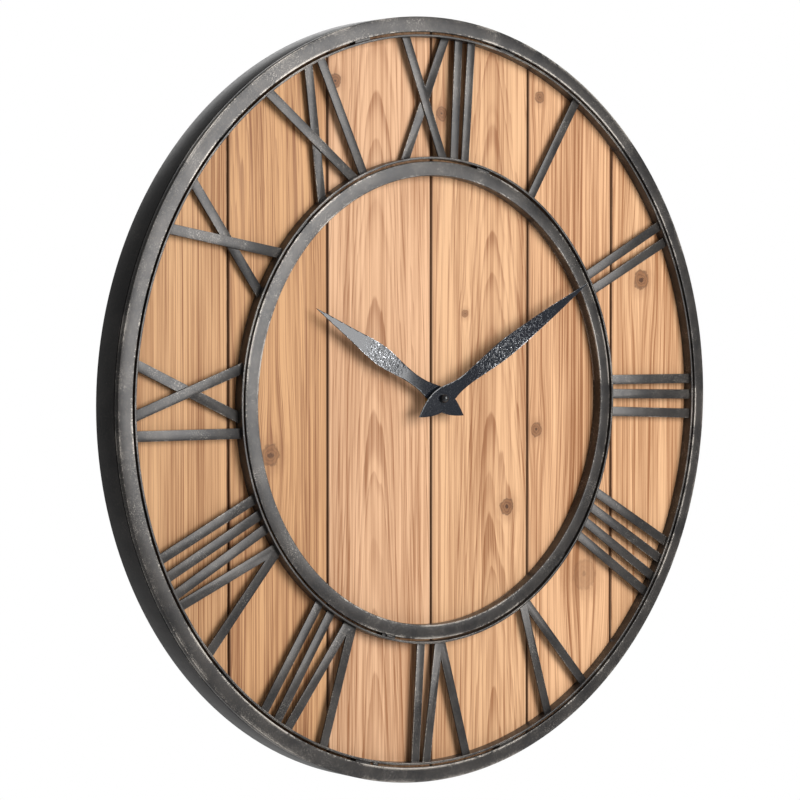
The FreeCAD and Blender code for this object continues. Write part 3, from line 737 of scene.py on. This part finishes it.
# Each board's grain: where the tree's heart lay beside it and how deep, in metres, how fast that
# depth changes up the board, the ring width in metres, and how wavy and strong the rings are.
honey = (0.66, 0.38, 0.190)
tan = (0.27, 0.108, 0.038)
board_looks = {
    "board_1": dict(
        Heart_X=-0.62, Heart_depth=0.03, Taper=0.02, Ring_width=0.0030, Waver=0.016,
        Contrast=0.62, Pale=honey, Deep=tan,
    ),
    "board_2": dict(
        Heart_X=-0.42, Heart_depth=0.06, Taper=0.12, Ring_width=0.0036, Waver=0.040,
        Contrast=0.66, Pale=(0.62, 0.345, 0.165), Deep=(0.25, 0.098, 0.035),
        knots=[(-0.201, -0.048, 0.0105, 0.75)],
    ),
    "board_3": dict(
        Heart_X=-0.072, Heart_depth=0.052, Taper=0.055, Ring_width=0.0036, Waver=0.034,
        Contrast=0.56, Pale=(0.70, 0.42, 0.245), Deep=(0.30, 0.125, 0.046),
        knots=[(-0.122, 0.312, 0.007, 1.0)],
    ),
    "board_4": dict(
        Heart_X=0.085, Heart_depth=0.060, Taper=0.060, Ring_width=0.0036, Waver=0.034,
        Contrast=0.50, Pale=(0.68, 0.405, 0.220), Deep=tan,
        knots=[
            (0.045, 0.087, 0.0040, 0.8), (0.102, -0.111, 0.0088, 1.0), (0.014, 0.287, 0.007, 0.8),
        ],
    ),
    "board_5": dict(
        Heart_X=0.36, Heart_depth=0.05, Taper=0.06, Ring_width=0.0036, Waver=0.026,
        Contrast=0.58, Pale=(0.72, 0.425, 0.232), Deep=tan,
        knots=[
            (0.147, 0.310, 0.006, 0.9), (0.143, -0.033, 0.0072, 0.9), (0.212, -0.188, 0.016, 0.3),
        ],
    ),
    "board_6": dict(
        Heart_X=0.55, Heart_depth=0.07, Taper=0.09, Ring_width=0.0044, Waver=0.030,
        Contrast=0.48, Pale=(0.68, 0.405, 0.220), Deep=(0.29, 0.12, 0.044),
        knots=[(0.295, 0.123, 0.0105, 1.0)],
    ),
}
board_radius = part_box("board_6")[1].x
board_rounding = 0.0014
spindle = Vector((0, 0, sum(corner.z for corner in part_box("bushing_washer")) / 2))
spindle_hole = 0.0053
drill_length = 0.1


def board(name, node):
    """A disc sawn down to one board's width, thickened, and eased along its front edges."""
    low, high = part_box(node)
    deselect()
    bpy.ops.mesh.primitive_circle_add(
        vertices=360, radius=board_radius, fill_type="NGON", location=(0, low.y, middle.z),
        rotation=(math.pi / 2, 0, 0),
    )
    piece = fresh(name)
    settle(piece)
    edit(piece)
    for side, edge in (("inner", low.x), ("outer", high.x)):
        take_all()
        clear = {f"clear_{side}": True}
        bpy.ops.mesh.bisect(plane_co=(edge, 0, 0), plane_no=(1, 0, 0), **clear)
    take_all()
    through = (0, high.y - low.y, 0)
    bpy.ops.mesh.extrude_region_move(TRANSFORM_OT_translate={"value": through})
    take_all()
    bpy.ops.mesh.normals_make_consistent(inside=False)
    bpy.ops.mesh.select_all(action="DESELECT")
    bpy.ops.mesh.select_mode(type="EDGE")
    shape = bmesh.from_edit_mesh(piece.data)
    for line in shape.edges:
        if all(abs(end.co.y - low.y) < 1e-5 for end in line.verts):
            line.select_set(True)
    bmesh.update_edit_mesh(piece.data)
    bpy.ops.mesh.bevel(offset=board_rounding, segments=4, affect="EDGES")
    leave()
    if low.x < spindle.x + spindle_hole and high.x > spindle.x - spindle_hole:
        deselect()
        bpy.ops.mesh.primitive_cylinder_add(
            vertices=48, radius=spindle_hole, depth=drill_length, location=spindle,
            rotation=(math.pi / 2, 0, 0),
        )
        drill = fresh("drill")
        finish_with(piece, "BOOLEAN", object=drill, operation="DIFFERENCE", solver="EXACT")
        bpy.data.objects.remove(drill)
    settle(piece, 30)
    return piece


for number, (node, look) in enumerate(board_looks.items(), start=1):
    plank = board(f"plank_{number}", node)
    low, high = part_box(node)
    wear(plank, board_wood(f"Board wood {number}", low.x, high.x, **look))
    stand_for(plank, node)


# -------------------- battens
# Two rough-sawn pine battens across the back, which hold the six boards in one disc. Their grain
# runs from side to side, and their arrises are only lightly sanded.


def pine(name):
    """Pale unstained pine, its grain running along X."""
    material, tree, shader, place = new_material(name)
    turn = tree.nodes.new("ShaderNodeMapping")
    turn.inputs["Rotation"].default_value = (0, math.pi / 2, 0)
    feed(tree, turn.inputs["Vector"], place)
    grain = dict(Heart_X=0.05, Heart_depth=0.09, Taper=0.06, Ring_width=0.0045, Waver=0.014)
    grain.update(Contrast=0.5, Pale=(0.60, 0.42, 0.24), Deep=(0.40, 0.22, 0.10))
    laid = turn.outputs[0]
    wood = placed(tree, sawn_rings, Place=laid, Fibre_place=laid, **grain)
    coat(tree, shader, wood["Color"], wood["Roughness"])
    relief(tree, shader, wood["Height"], 1.0)
    return material


batten_pine = pine("Batten pine")
sanded = 0.0007


def eased(node, name, material, width):
    """A copy of a CAD node with its arrises eased by a width, which stands for the node."""
    piece = worked_copy(node, name)
    finish_with(piece, "BEVEL", width=width, segments=3, limit_method="ANGLE")
    settle(piece)
    wear(piece, material)
    stand_for(piece, node)


eased("lower_batten", "batten_low", batten_pine, sanded)
eased("upper_batten", "batten_high", batten_pine, sanded)


# -------------------- batten screws
# Pan-head wood screws, zinc plated, driven through the battens into the boards: two to a board.
# Each has a domed head with a cross recess, and a thread that shows only where it enters the wood.


on_axis = 1e-7


def lathed(name, corners, rounding, steps=48, pole=Vector()):
    """A solid turned from (radius, height) corners that start and end on the pole."""
    piece = section(name, corners, pole)
    shape = bmesh.from_edit_mesh(piece.data)
    for line in shape.edges:
        line.select_set(all(end.co.x - pole.x < on_axis for end in line.verts))
    bmesh.update_edit_mesh(piece.data)
    bpy.ops.mesh.delete(type="EDGE")
    shape = bmesh.from_edit_mesh(piece.data)
    for point in shape.verts:
        point.select_set(point.co.x - pole.x > on_axis)
    bmesh.update_edit_mesh(piece.data)
    bpy.ops.mesh.bevel(offset=rounding, segments=2, affect="VERTICES")
    return spun(piece, steps, pole)


def metal(name, colour, roughness, scratch=0.12):
    """Bare or plated metal with a fine brushed haze and a few duller patches."""
    material, tree, shader, place = new_material(name)
    dull = noise(tree, place, 160, 3, 0.6)
    lines = noise(tree, stretched(tree, place, (1, 1, 0.06)), 2200, 2, 0.6)
    tint = blend(tree, climb(tree, dull, 0.35, 0.75), colour, tuple(0.72 * part for part in colour))
    uneven = times_plus(tree, dull, 0.2, roughness - 0.1)
    coat(tree, shader, tint, times_plus(tree, lines, scratch, uneven))
    shader.inputs["Metallic"].default_value = 1.0
    relief(tree, shader, times(tree, lines, 0.00002), 0.4)
    return material


zinc = metal("Zinc plate", (0.62, 0.62, 0.58), 0.36)
screw_head = 0.0036
head_tall = 0.0018
screw_shank = 0.0018
screw_root = screw_shank * 0.7
point_long = 0.0016
screw_steps = 32


def thread(radius, top, length, pitch=0.0011, depth=0.00035):
    """The corners of a thread's teeth down a shank, from the head to the point."""
    teeth = []
    for turn in range(int(length / pitch)):
        teeth.append((radius - depth, top + turn * pitch))
        teeth.append((radius, top + (turn + 0.5) * pitch))
    return teeth


def cross_recess(piece, half, deep, top):
    """Cuts the driver's cross into a head that faces the wall."""
    arms = []
    for width, length in ((half * 0.3, half), (half, half * 0.3)):
        deselect()
        bpy.ops.mesh.primitive_cube_add(size=2, location=(0, -top, 0), scale=(width, deep, length))
        arms.append(fresh("arm"))
    for arm in arms:
        finish_with(piece, "BOOLEAN", object=arm, operation="DIFFERENCE", solver="EXACT")
        bpy.data.objects.remove(arm)


def pan_head_screw(name, node):
    """A pan-head screw as long as the CAD node's, with the top of its head at the origin."""
    low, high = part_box(node)
    long = high.y - low.y
    piece = lathed(
        name,
        [
            (0, 0),
            (screw_head * 0.62, 0.00018),
            (screw_head * 0.93, 0.0008),
            (screw_head, head_tall),
            *thread(screw_shank, head_tall, long - head_tall - 0.0022),
            (screw_root, long - point_long),
            (0, long),
        ],
        0.00008,
        screw_steps,
    )
    cross_recess(piece, 0.0017, 0.0010, 0)
    settle(piece, 30)
    return piece


def driven(original, name, places, node):
    """A set of zinc-plated copies of a screw, which stands for a CAD node."""
    piece = copied(original, name, [(place, 0) for place in places], 30)
    wear(piece, zinc)
    stand_for(piece, node)


def level_of(node):
    """How high the middle of a CAD node stands."""
    return sum(corner.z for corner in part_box(node)) / 2


batten_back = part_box("lower_batten")[1].y
batten_levels = [level_of("lower_batten"), level_of("upper_batten")]
screw_columns = (-0.290, -0.190, -0.065, 0.065, 0.190, 0.290)
batten_places = [(x, batten_back + head_tall, z) for x in screw_columns for z in batten_levels]
long_screw = pan_head_screw("long_screw", "batten_screws")
driven(long_screw, "batten_screw_set", batten_places, "batten_screws")


# -------------------- rim clips
# Eight folded angles of sheet welded inside the rim, painted with it. The disc of boards is
# screwed to them from behind, with the same pan-head screws.

softened("rim_clips", frame_paint("Clip paint", wear=0.4, speckle=0.2), 0.0003)

clip_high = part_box("clip_screws")[1]
clip_angles = [10 + 45 * clip for clip in range(8)]
widest_clip = max(math.sin(math.radians(angle)) for angle in clip_angles)
clip_reach = (clip_high.x - screw_head) / widest_clip
clip_places = [around(clip_reach, angle, -clip_high.y) for angle in clip_angles]
short_screw = pan_head_screw("short_screw", "clip_screws")
driven(short_screw, "clip_screw_set", clip_places, "clip_screws")


# -------------------- hanger
# A pine block glued behind the top of the boards, with a stamped keyhole plate screwed over it.
# The plate lies in the plane of the wall, and its keyhole is what the clock hangs by.

eased("hanger_block", "hanger_pine_block", pine("Hanger pine"), sanded)
plate_zinc = metal("Plate zinc", (0.58, 0.58, 0.55), 0.42)
eased("keyhole_plate", "hanging_plate", plate_zinc, 0.0002)

flat_long = 0.012
flat_screw = lathed(
    "flat_screw",
    [
        (0, 0.00005),
        (screw_head, 0.00005),
        (screw_shank, 0.0015),
        *thread(screw_shank, 0.0018, 0.0084),
        (screw_root, flat_long - 0.0014),
        (0, flat_long),
    ],
    0.00006,
    screw_steps,
)
cross_recess(flat_screw, 0.0018, 0.0009, 0)
settle(flat_screw, 30)
plate_columns = (-0.030, 0.030)
plate_places = [(x, 0, level_of("hanger_screws")) for x in plate_columns]
driven(flat_screw, "hanger_screw_pair", plate_places, "hanger_screws")


# -------------------- movement case
# The quartz movement's moulded case and its flat front cover. Both are black styrene with a spark
# eroded surface, a little shinier where they have been handled.


def moulded(name, colour, roughness=0.5, texture=0.00003):
    """Moulded plastic: a fine even texture, slightly uneven in tone and shine."""
    material, tree, shader, place = new_material(name)
    cloud = noise(tree, place, 90, 3, 0.6)
    pores = noise(tree, place, 2600, 1)
    lighter = tuple(min(1.0, part * 1.25 + 0.006) for part in colour)
    tint = blend(tree, climb(tree, cloud, 0.3, 0.75), colour, lighter)
    coat(tree, shader, tint, times_plus(tree, cloud, 0.2, roughness - 0.1))
    relief(tree, shader, times(tree, pores, texture), 0.6)
    return material


housing_plastic = moulded("Housing plastic", (0.018, 0.018, 0.019))
eased("movement_case", "housing_shell", housing_plastic, 0.0004)
eased("movement_cover", "housing_cover", housing_plastic, 0.0002)
softened("setting_knob", moulded("Knob plastic", (0.022, 0.022, 0.023), 0.4), 0.00012)


# -------------------- battery
# One AA cell in the open bay of the case: a steel can in a printed plastic sleeve, shrunk over its
# shoulders, with a nub at one end. The contacts at its ends are a flat strip and a sprung one.

cell_low, cell_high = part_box("battery")
nub_long = 0.001
nub_radius = 0.0027
cell_radius = (cell_high.z - cell_low.z) / 2
cell_long = cell_high.x - cell_low.x - nub_long
cell = lathed(
    "battery_cell",
    [
        (0, 0.0002),
        (cell_radius * 0.70, 0.0002),
        (cell_radius * 0.74, 0),
        (cell_radius * 0.93, 0),
        (cell_radius, 0.0007),
        (cell_radius, cell_long - 0.0009),
        (cell_radius * 0.92, cell_long),
        (cell_radius * 0.60, cell_long - 0.0002),
        (cell_radius * 0.56, cell_long - 0.0006),
        (nub_radius, cell_long - 0.0006),
        (nub_radius, cell_long + nub_long * 0.8),
        (0.0023, cell_long + nub_long),
        (0, cell_long + nub_long),
    ],
    0.00012,
    64,
)
cell.rotation_euler = (0, 0, math.pi / 2)
cell.location = (cell_low.x, (cell_low.y + cell_high.y) / 2, level_of("battery"))
settle(cell, 35)
material, tree, shader, place = new_material("Cell sleeve")
lengthwise = axes(tree, place)["X"]
print_wear = noise(tree, place, 240, 3, 0.6)
stripe_edge = cell_high.x - 0.0122
stripe = climb(tree, lengthwise, stripe_edge - 0.0003, stripe_edge)
from_middle = sums(tree, "ABSOLUTE", lengthwise)
ends = climb(tree, from_middle, cell_long / 2 - 0.0006, cell_long / 2 - 0.0005)
sleeve = blend(tree, stripe, (0.06, 0.16, 0.13), (0.42, 0.43, 0.42))
sleeve = blend(tree, times(tree, print_wear, 0.3), sleeve, (0.10, 0.20, 0.17))
sleeve = blend(tree, ends, sleeve, (0.6, 0.6, 0.58))
coat(tree, shader, sleeve, times_plus(tree, print_wear, 0.15, 0.25))
feed(tree, shader.inputs["Metallic"], times_plus(tree, ends, 0.6, 0.35))
wear(cell, material)
stand_for(cell, "battery")

softened("positive_contact", zinc, 0.0001)
softened("negative_contact", zinc, 0.0001)


# -------------------- spindle hardware
# A threaded brass bushing stands through the boards and clamps the movement to them, with a
# washer and a thin hexagon nut on the dial side.

brass = metal("Brass", (0.62, 0.42, 0.16), 0.32)
bush_low, bush_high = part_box("threaded_bushing")
bush_radius = bush_high.x
bush_bore = 0.0033
half_pitch = 0.00035
crest, valley = bush_radius - 0.00002, bush_radius - 0.0005
bush_thread = [
    (valley if step % 2 else crest, -bush_high.y + half_pitch * step)
    for step in range(int((bush_high.y - bush_low.y) / half_pitch))
]
bushing = turned(
    "bushing_thread",
    [
        *bush_thread,
        (bush_radius - 0.0006, -bush_low.y),
        (bush_bore, -bush_low.y),
        (bush_bore, -bush_high.y),
    ],
    0.00005,
    64,
    spindle,
)
wear(bushing, brass)
stand_for(bushing, "threaded_bushing")
softened("bushing_washer", brass, 0.00012)
softened("bushing_nut", brass, 0.00025)


# -------------------- going train
# The wheels inside the case, moulded in white acetal: the two arbors that carry the hands, the
# intermediate wheel between them, and the fast wheels that the motor drives.

acetal = moulded("Acetal", (0.70, 0.69, 0.65), 0.38, 0.00001)
for node in ("minute_wheel", "hour_wheel", "intermediate_wheel", "third_wheel", "seconds_wheel"):
    softened(node, acetal, 0.00005)


# -------------------- motor
# A small stepping motor: a sintered magnet turns between the poles of a thin stator, which a coil
# of enamelled wire drives, and a green circuit board times it.

softened("rotor", metal("Sintered magnet", (0.20, 0.19, 0.19), 0.45), 0.00008)
softened("stator", metal("Stator iron", (0.45, 0.44, 0.43), 0.4), 0.00005)

material, tree, shader, place = new_material("Enamelled wire")
wire_pitch = 0.00016
wound = times(tree, axes(tree, place)["X"], 2 * math.pi / wire_pitch)
turns = sums(tree, "SINE", wound)
tone = noise(tree, place, 500, 2)
copper = blend(tree, tone, (0.58, 0.20, 0.07), (0.72, 0.30, 0.12))
coat(tree, shader, copper, times_plus(tree, tone, 0.15, 0.22))
shader.inputs["Metallic"].default_value = 0.9
relief(tree, shader, times(tree, turns, 0.00003), 0.8)
softened("coil", material, 0.00015)

material, tree, shader, place = new_material("Circuit board green")
tracks = climb(tree, noise(tree, place, 700, 1), 0.5, 0.54)
resist = blend(tree, tracks, (0.010, 0.085, 0.030), (0.022, 0.15, 0.055))
coat(tree, shader, resist, times_plus(tree, tracks, -0.1, 0.35))
softened("circuit_board", material, 0.00008)


# -------------------- hands
# Leaf-shaped hands stamped from 1 mm sheet, with hammered fronts, enamelled gloss black. In the
# middle of each blade, silvery specks in the enamel's colour are painted highlights off the
# hammering.


def hammered_enamel(name, glint_at, glint_span, angle):
    """Gloss enamel over hammered sheet, with painted highlights as silvery specks along part of the
    blade.
    """
    material, tree, shader, place = new_material(name)
    turn = math.radians(angle)
    run = tree.nodes.new("ShaderNodeVectorMath")
    run.operation = "DOT_PRODUCT"
    feed(tree, run.inputs[0], place)
    run.inputs[1].default_value = (math.sin(turn), 0, math.cos(turn))
    along = less(tree, run.outputs["Value"], spindle.z * math.cos(turn))
    far = sums(tree, "ABSOLUTE", less(tree, along, glint_at))
    near = fall(tree, far, glint_span * 0.2, glint_span)
    flecks = noise(tree, place, 820, 2, 0.7)
    glint_specks = climb(tree, flecks, 0.58, 0.66)
    # The glint is painted highlight: silvery specks in the colour, where the hammering catches the
    # light.
    glint = times(tree, glint_specks, times_plus(tree, near, 0.9, 0.04))
    edges = placed(tree, edge_wear, Place=place, Reach=0.0009, Amount=0.7)["Mask"]
    # Bare steel on the rubbed edges, and painted highlight where the glint specks are.
    bare = sums(tree, "MAXIMUM", glint, edges)
    enamel = blend(tree, bare, (0.011, 0.013, 0.018), (0.58, 0.60, 0.63))
    haze = noise(tree, place, 60, 2)
    coat(tree, shader, enamel, times_plus(tree, haze, 0.05, 0.03))
    feed(tree, shader.inputs["Metallic"], times(tree, bare, 0.8))
    pits = times(tree, noise(tree, place, 520, 2, 0.55), near)
    relief(tree, shader, times(tree, pits, 0.00020), 0.6)
    return material


dimples = bpy.data.textures.new("dimples", "CLOUDS")
dimples.noise_scale = 0.0024
dimples.noise_depth = 1


tail_reach = 0.036
widest = 0.013
grid = 0.0013


def hand(node, name, angle, longest, glint_at, glint_span, deep):
    """A hand's sheet, cut into a fine grid and hammered along part of its front."""
    piece = worked_copy(node, name)
    finish_with(piece, "BEVEL", width=0.00022, segments=2, limit_method="ANGLE")
    turn = math.radians(angle)
    forward = Vector((math.sin(turn), 0, math.cos(turn)))
    across = Vector((math.cos(turn), 0, -math.sin(turn)))
    edit(piece)
    for direction, first, last in ((forward, -tail_reach, longest), (across, -widest, widest)):
        for step in range(int((last - first) / grid) + 1):
            take_all()
            where = spindle + direction * (first + step * grid)
            bpy.ops.mesh.bisect(plane_co=where, plane_no=direction)
    leave()
    front = min(vertex.co.y for vertex in piece.data.vertices)
    facing = piece.vertex_groups.new(name="front")
    for vertex in piece.data.vertices:
        along = (vertex.co - spindle).dot(forward)
        share = 1 - ((along - glint_at) / glint_span) ** 2
        if vertex.co.y < front + 1e-5 and share > 0:
            facing.add([vertex.index], share, "REPLACE")
    finish_with(
        piece,
        "DISPLACE",
        texture=dimples,
        texture_coords="LOCAL",
        vertex_group="front",
        direction="Y",
        strength=deep,
        mid_level=0.3,
    )
    settle(piece, 50)
    return piece


blades = {
    "hour": dict(angle=299.9, longest=0.180, glint_at=0.085, glint_span=0.035, deep=0.00013),
    "minute": dict(angle=59.7, longest=0.232, glint_at=0.105, glint_span=0.075, deep=0.00028),
}
for which, blade in blades.items():
    leaf = hand(f"{which}_hand", f"{which}_leaf", **blade)
    glint = {size: blade[size] for size in ("glint_at", "glint_span", "angle")}
    wear(leaf, hammered_enamel(f"{which.title()} enamel", **glint))
    stand_for(leaf, f"{which}_hand")


# -------------------- cap nut
# A closed nut with a turned dome screws on to the end of the minute shaft and covers it. It is
# enamelled black like the hands.

cap_low, cap_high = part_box("cap_nut")
cap_radius = cap_high.x
cap_foot = -cap_high.y
cap_tall = cap_high.y - cap_low.y
cap_bore = 0.0016
dome = [
    (cap_radius * math.cos(turn), cap_foot + cap_tall * (0.25 + 0.75 * math.sin(turn)))
    for turn in (math.radians(10 * step) for step in range(1, 9))
]
cap = lathed(
    "domed_cap",
    [
        (0, cap_foot + cap_tall * 0.4),
        (cap_bore, cap_foot + cap_tall * 0.4),
        (cap_bore, cap_foot),
        (cap_radius * 0.97, cap_foot),
        (cap_radius, cap_foot + 0.0002),
        *dome,
        (0, cap_foot + cap_tall),
    ],
    0.0001,
    64,
    spindle,
)
material, tree, shader, place = new_material("Cap enamel")
haze = noise(tree, place, 300, 2)
enamel = blend(tree, haze, (0.010, 0.010, 0.011), (0.018, 0.018, 0.019))
coat(tree, shader, enamel, times_plus(tree, haze, 0.12, 0.12))
wear(cap, material)
stand_for(cap, "cap_nut")


# -------------------- studio
# A white room: a broad softbox in front and to the right, a weak one behind, a pale floor well
# below the clock, and a camera level with it and to the left.

aim = Vector((-0.0487, -0.036, -0.29826))
azimuth = math.radians(-39.657)
elevation = math.radians(1.934)
distance = 2.6031
back = Vector(
    (
        math.sin(azimuth) * math.cos(elevation),
        -math.cos(azimuth) * math.cos(elevation),
        math.sin(elevation),
    )
)
camera = bpy.data.objects.new("Camera", bpy.data.cameras.new("Camera"))
bpy.context.scene.collection.objects.link(camera)
camera.location = aim + back * distance
camera.rotation_mode = "QUATERNION"
camera.rotation_quaternion = back.to_track_quat("Z", "Y")
camera.data.lens = 118.77
camera.data.sensor_width = 36
camera.data.clip_start = 0.05
camera.data.clip_end = 50
bpy.context.scene.camera = camera


def softbox(name, location, width, height, power):
    """A rectangular light that faces the middle of the clock."""
    lamp = bpy.data.lights.new(name, "AREA")
    lamp.shape = "RECTANGLE"
    lamp.size = width
    lamp.size_y = height
    lamp.energy = power
    light = bpy.data.objects.new(name, lamp)
    bpy.context.scene.collection.objects.link(light)
    light.location = location
    light.rotation_mode = "QUATERNION"
    light.rotation_quaternion = (light.location - middle).to_track_quat("Z", "Y")
    light.visible_camera = False


softbox("Key", (0.80, -2.15, 0.25), width=1.6, height=2.0, power=72)
softbox("Back", (0.75, 2.4, 0.5), width=1.8, height=1.8, power=15)

world = bpy.data.worlds.new("Studio")
bpy.context.scene.world = world
world.use_nodes = True
tree = world.node_tree
room = tree.nodes["Background"]
room.inputs["Color"].default_value = (1, 1, 1, 1)
room.inputs["Strength"].default_value = 0.25
backdrop = tree.nodes.new("ShaderNodeBackground")
backdrop.inputs["Color"].default_value = (1, 1, 1, 1)
backdrop.inputs["Strength"].default_value = 1.0
seen = tree.nodes.new("ShaderNodeMixShader")
path = tree.nodes.new("ShaderNodeLightPath")
feed(tree, seen.inputs[0], path.outputs["Is Camera Ray"])
feed(tree, seen.inputs[1], room.outputs[0])
feed(tree, seen.inputs[2], backdrop.outputs[0])
feed(tree, tree.nodes["World Output"].inputs["Surface"], seen.outputs[0])
bpy.context.scene.view_settings.view_transform = "Standard"

floor_drop = 1.2
deselect()
bpy.ops.mesh.primitive_plane_add(size=6, location=(0, 0, middle.z - floor_drop))
floor = fresh("floor")
material, tree, shader, place = new_material("Floor")
shader.inputs["Base Color"].default_value = (0.85, 0.85, 0.85, 1)
shader.inputs["Roughness"].default_value = 0.8
wear(floor, material)
